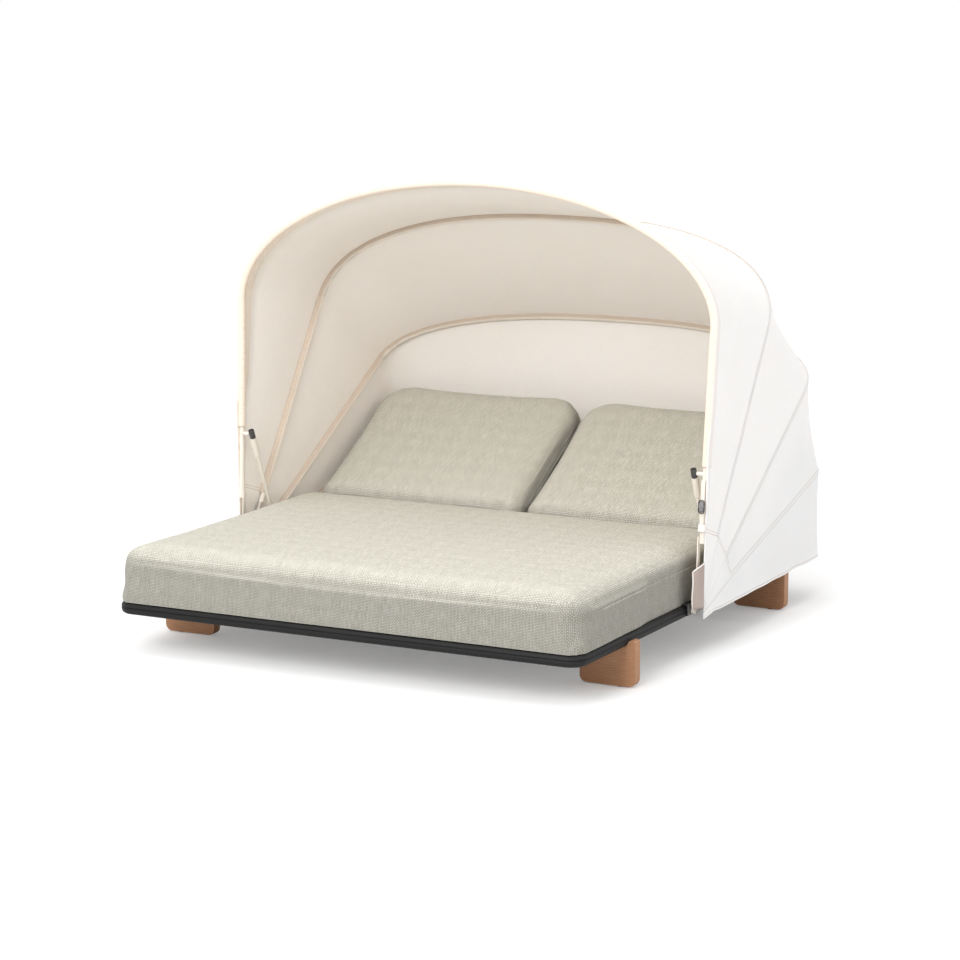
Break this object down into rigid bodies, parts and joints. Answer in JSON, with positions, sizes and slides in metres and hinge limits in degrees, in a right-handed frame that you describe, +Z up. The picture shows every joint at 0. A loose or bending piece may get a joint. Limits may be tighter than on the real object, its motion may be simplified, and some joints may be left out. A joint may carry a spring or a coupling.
{
  "type": "outdoor daybed with folding canopy",
  "caption": "Low outdoor daybed with a thick mattress, reclining padded backs and a folding fabric canopy on curved bows over its rear half; wooden slab feet carry a rounded rail frame.",
  "frame": {"origin": "on the floor, under the centre of the whole piece", "axes": "+Z up, -Y towards the open front of the mattress, +X to the right seen from the front"},
  "size_m": [1.9284, 2.2076, 1.6196],
  "materials": {
    "frame_paint": "satin",
    "canopy_paint": "satin",
    "teak": "satin",
    "bolt_steel": "satin",
    "glide_plastic": "matte",
    "dark_fitting": "satin",
    "seat_fabric": "matte",
    "canopy_fabric": "matte"
  },
  "bodies": {
    "base": {"rail_front": "frame_paint", "rail_right": "frame_paint", "rail_rear": "frame_paint", "rail_left": "frame_paint", "beam_front": "frame_paint", "beam_middle": "frame_paint", "beam_rear": "frame_paint", "seat_slat_1": "frame_paint", "seat_slat_2": "frame_paint", "seat_slat_3": "frame_paint", "seat_slat_4": "frame_paint", "seat_slat_5": "frame_paint", "foot_front_left": "teak", "foot_front_right": "teak", "foot_rear_left": "teak", "foot_rear_right": "teak", "foot_bolt_front_left": "bolt_steel", "foot_bolt_front_right": "bolt_steel", "foot_bolt_rear_left": "bolt_steel", "foot_bolt_rear_right": "bolt_steel", "canopy_pivot_pin_left": "bolt_steel", "canopy_pivot_pin_right": "bolt_steel", "backrest_hinge_rod_left": "bolt_steel", "backrest_hinge_rod_right": "bolt_steel", "foot_glide_front_left": "glide_plastic", "foot_glide_front_right": "glide_plastic", "foot_glide_rear_left": "glide_plastic", "foot_glide_rear_right": "glide_plastic", "canopy_bracket_left": "dark_fitting", "canopy_bracket_right": "dark_fitting", "stay_bracket_left": "dark_fitting", "stay_bracket_right": "dark_fitting", "backrest_hinge_bracket_left_1": "dark_fitting", "backrest_hinge_bracket_left_2": "dark_fitting", "backrest_hinge_bracket_right_1": "dark_fitting", "backrest_hinge_bracket_right_2": "dark_fitting", "backrest_rack_left": "dark_fitting", "backrest_rack_right": "dark_fitting", "seat_mattress": "seat_fabric", "canopy_skirt": "canopy_fabric"},
    "rear_bow": {"bow_4": "canopy_paint", "canopy_panel_3": "canopy_fabric"},
    "third_bow": {"bow_3": "canopy_paint", "canopy_panel_2": "canopy_fabric"},
    "second_bow": {"bow_2": "canopy_paint", "canopy_panel_1": "canopy_fabric"},
    "front_bow": {"bow_1": "canopy_paint"},
    "backrest_left": {"backrest_frame_left": "frame_paint", "back_cushion_left": "seat_fabric"},
    "prop_left": {"backrest_prop_left": "bolt_steel"},
    "stay_left": {"stay_rod_left": "canopy_paint", "stay_head_left": "dark_fitting"},
    "sleeve_left": {"stay_sleeve_left": "canopy_paint"},
    "backrest_right": {"backrest_frame_right": "frame_paint", "back_cushion_right": "seat_fabric"},
    "prop_right": {"backrest_prop_right": "bolt_steel"},
    "stay_right": {"stay_rod_right": "canopy_paint", "stay_head_right": "dark_fitting"},
    "sleeve_right": {"stay_sleeve_right": "canopy_paint"}
  },
  "joints": [
    {"name": "bow_4_fold", "type": "hinge", "parent": "base", "child": "rear_bow", "pos_m": [0, -0.21684, 0.1613], "axis": [-1, 0, 0], "range_deg": [0, 13.2], "deforming": ["canopy_skirt"]},
    {"name": "bow_3_fold", "type": "hinge", "parent": "rear_bow", "child": "third_bow", "pos_m": [0, -0.21684, 0.1613], "axis": [-1, 0, 0], "range_deg": [0, 10.85], "deforming": ["canopy_panel_3"]},
    {"name": "bow_2_fold", "type": "hinge", "parent": "third_bow", "child": "second_bow", "pos_m": [0, -0.21684, 0.1613], "axis": [-1, 0, 0], "range_deg": [0, 19.85], "deforming": ["canopy_panel_2"]},
    {"name": "bow_1_fold", "type": "hinge", "parent": "second_bow", "child": "front_bow", "pos_m": [0, -0.21684, 0.1613], "axis": [-1, 0, 0], "range_deg": [0, 23.35], "deforming": ["canopy_panel_1"]},
    {"name": "recline_left", "type": "hinge", "parent": "base", "child": "backrest_left", "pos_m": [-0.444, 0.30616, 0.199], "axis": [1, 0, 0], "range_deg": [-14, 14]},
    {"name": "prop_swing_left", "type": "hinge", "parent": "backrest_left", "child": "prop_left", "pos_m": [-0.444, 0.57582, 0.33231], "axis": [1, 0, 0], "range_deg": [-31.5, 31.5]},
    {"name": "stay_swing_left", "type": "hinge", "parent": "base", "child": "stay_left", "pos_m": [-0.895, 0.00316, 0.192], "axis": [1, 0, 0], "range_deg": [0, 60]},
    {"name": "sleeve_slide_left", "type": "slide", "parent": "stay_left", "child": "sleeve_left", "axis": [0, 0.3914, -0.9202], "range_m": [0, 0.012], "stiffness_N_per_m": 300, "springref_m": -0.01},
    {"name": "recline_right", "type": "hinge", "parent": "base", "child": "backrest_right", "pos_m": [0.444, 0.30616, 0.199], "axis": [1, 0, 0], "range_deg": [-14, 14]},
    {"name": "prop_swing_right", "type": "hinge", "parent": "backrest_right", "child": "prop_right", "pos_m": [0.444, 0.57582, 0.33231], "axis": [1, 0, 0], "range_deg": [-31.5, 31.5]},
    {"name": "stay_swing_right", "type": "hinge", "parent": "base", "child": "stay_right", "pos_m": [0.895, 0.00316, 0.192], "axis": [1, 0, 0], "range_deg": [0, 60]},
    {"name": "sleeve_slide_right", "type": "slide", "parent": "stay_right", "child": "sleeve_right", "axis": [0, 0.3914, -0.9202], "range_m": [0, 0.012], "stiffness_N_per_m": 300, "springref_m": -0.01}
  ],
  "couplings": [
    {"joint": "bow_3_fold", "follows": "bow_4_fold", "ratio": 0.8182},
    {"joint": "bow_2_fold", "follows": "bow_4_fold", "ratio": 1.5},
    {"joint": "bow_1_fold", "follows": "bow_4_fold", "ratio": 1.7652},
    {"joint": "prop_swing_left", "follows": "recline_left", "ratio": -2.24},
    {"joint": "prop_swing_right", "follows": "recline_right", "ratio": -2.24}
  ]
}
